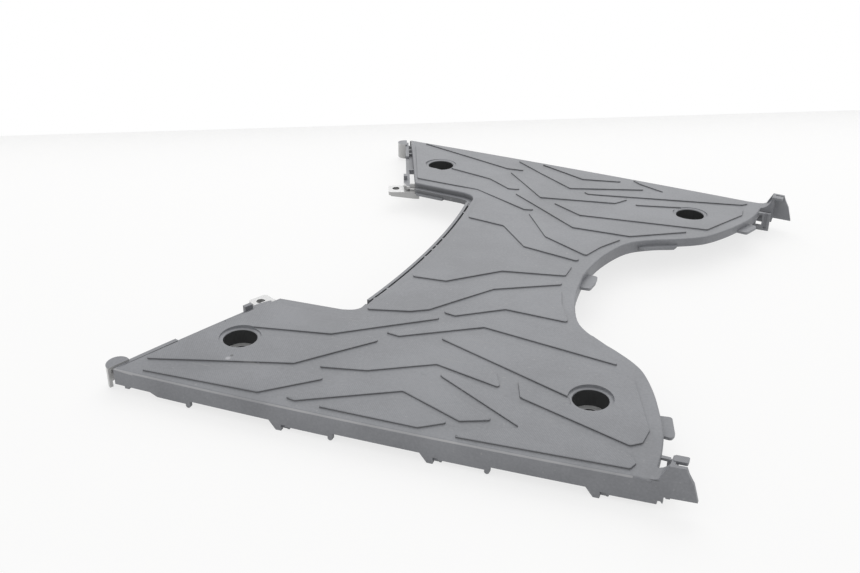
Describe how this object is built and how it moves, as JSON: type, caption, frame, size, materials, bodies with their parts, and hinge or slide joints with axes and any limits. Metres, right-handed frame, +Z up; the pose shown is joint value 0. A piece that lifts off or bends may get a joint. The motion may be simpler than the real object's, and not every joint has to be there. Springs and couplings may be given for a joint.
{
  "type": "scooter floorboard",
  "caption": "Flat footboard of a step-through scooter: a wide crowned deck with a chevron tread, notched at both ends, with skirts, bolt wells, screw lugs and clip teeth.",
  "frame": {"origin": "middle of the part's bounding box in plan, at the height of the tips of the skirt's teeth", "axes": "+X along the symmetry axis from the end with the screw lugs to the end with the ears, +Y across the part, +Z up out of the tread"},
  "size_m": [0.3681, 0.452, 0.0303],
  "materials": {
    "grey_plastic": "fine-grained satin"
  },
  "bodies": {
    "root": {"floorboard": "grey_plastic"}
  },
  "joints": []
}
